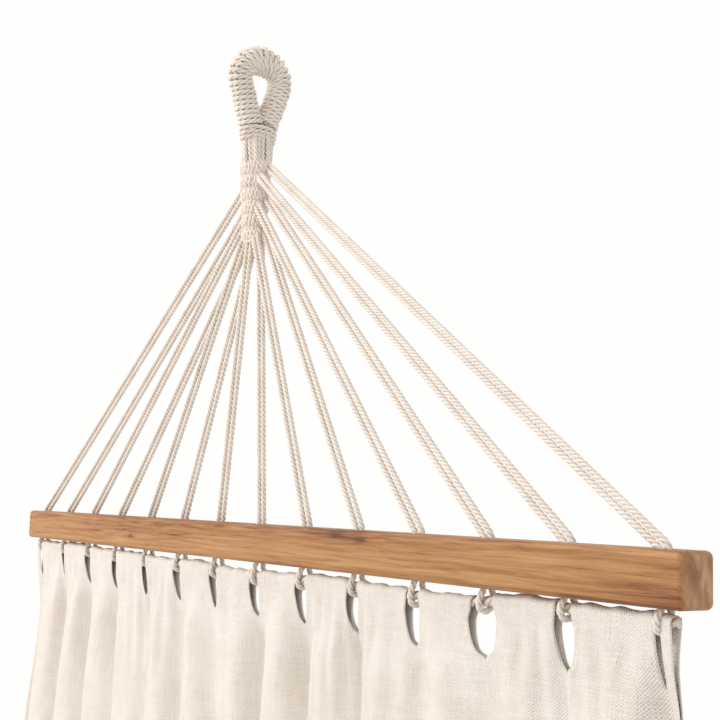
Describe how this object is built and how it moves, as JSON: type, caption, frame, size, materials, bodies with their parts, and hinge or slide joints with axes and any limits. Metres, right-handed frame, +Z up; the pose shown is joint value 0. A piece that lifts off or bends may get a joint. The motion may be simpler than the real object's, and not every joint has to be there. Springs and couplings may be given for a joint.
{
  "type": "spreader bar hammock",
  "caption": "Canvas hammock with a whipped hanging eye, woven clew, fan of doubled cords and wooden spreader bar at each end, hung from its upper eye.",
  "frame": {"origin": "where a hook bears inside the upper eye, at the top of its opening", "axes": "+Z up along the hanging hammock, +X along the spreader bars, +Y through the thickness of the bars"},
  "size_m": [1.252, 0.081, 3.196],
  "materials": {
    "cord": "twisted natural cotton cord",
    "canvas": "plain woven natural cotton canvas",
    "thread": "cotton seam thread",
    "bar_wood": "oiled hardwood, satin"
  },
  "bodies": {
    "eye_upper": {"eye_core_upper": "cord", "eye_whipping_upper": "cord", "collar_upper": "cord"},
    "rigging_upper": {"neck_cords_upper": "cord", "woven_clew_upper": "cord", "doubled_cord_01_upper": "cord", "doubled_cord_02_upper": "cord", "doubled_cord_03_upper": "cord", "doubled_cord_04_upper": "cord", "doubled_cord_05_upper": "cord", "doubled_cord_06_upper": "cord", "doubled_cord_07_upper": "cord", "doubled_cord_08_upper": "cord", "doubled_cord_09_upper": "cord", "doubled_cord_10_upper": "cord", "doubled_cord_11_upper": "cord", "doubled_cord_12_upper": "cord", "doubled_cord_13_upper": "cord", "doubled_cord_14_upper": "cord"},
    "bar_upper": {"spreader_bar_upper": "bar_wood", "cord_bights_upper": "cord"},
    "eye_lower": {"eye_core_lower": "cord", "eye_whipping_lower": "cord", "collar_lower": "cord"},
    "rigging_lower": {"neck_cords_lower": "cord", "woven_clew_lower": "cord", "doubled_cord_01_lower": "cord", "doubled_cord_02_lower": "cord", "doubled_cord_03_lower": "cord", "doubled_cord_04_lower": "cord", "doubled_cord_05_lower": "cord", "doubled_cord_06_lower": "cord", "doubled_cord_07_lower": "cord", "doubled_cord_08_lower": "cord", "doubled_cord_09_lower": "cord", "doubled_cord_10_lower": "cord", "doubled_cord_11_lower": "cord", "doubled_cord_12_lower": "cord", "doubled_cord_13_lower": "cord", "doubled_cord_14_lower": "cord"},
    "bar_lower": {"spreader_bar_lower": "bar_wood", "cord_bights_lower": "cord"},
    "bed": {"canvas_bed": "canvas", "side_stitching": "thread", "hem_rope_upper": "cord", "header_stitching_upper": "thread", "hem_rope_lower": "cord", "header_stitching_lower": "thread"}
  },
  "joints": [
    {"name": "upper_rigging_swing", "type": "hinge", "parent": "eye_upper", "child": "rigging_upper", "pos_m": [0, 0, -0.102], "axis": [1, 0, 0], "range_deg": [-30, 30]},
    {"name": "upper_bar_rock", "type": "hinge", "parent": "rigging_upper", "child": "bar_upper", "pos_m": [0, 0, -0.5144], "axis": [1, 0, 0], "range_deg": [-45, 45]},
    {"name": "upper_bed_swing", "type": "hinge", "parent": "bar_upper", "child": "bed", "pos_m": [0, 0, -0.569], "axis": [1, 0, 0], "range_deg": [-60, 60]},
    {"name": "lower_bar_swing", "type": "hinge", "parent": "bed", "child": "bar_lower", "pos_m": [0, 0, -2.569], "axis": [1, 0, 0], "range_deg": [-60, 60]},
    {"name": "lower_rigging_rock", "type": "hinge", "parent": "bar_lower", "child": "rigging_lower", "pos_m": [0, 0, -2.6236], "axis": [1, 0, 0], "range_deg": [-45, 45]},
    {"name": "lower_eye_swing", "type": "hinge", "parent": "rigging_lower", "child": "eye_lower", "pos_m": [0, 0, -3.036], "axis": [1, 0, 0], "range_deg": [-30, 30]}
  ]
}
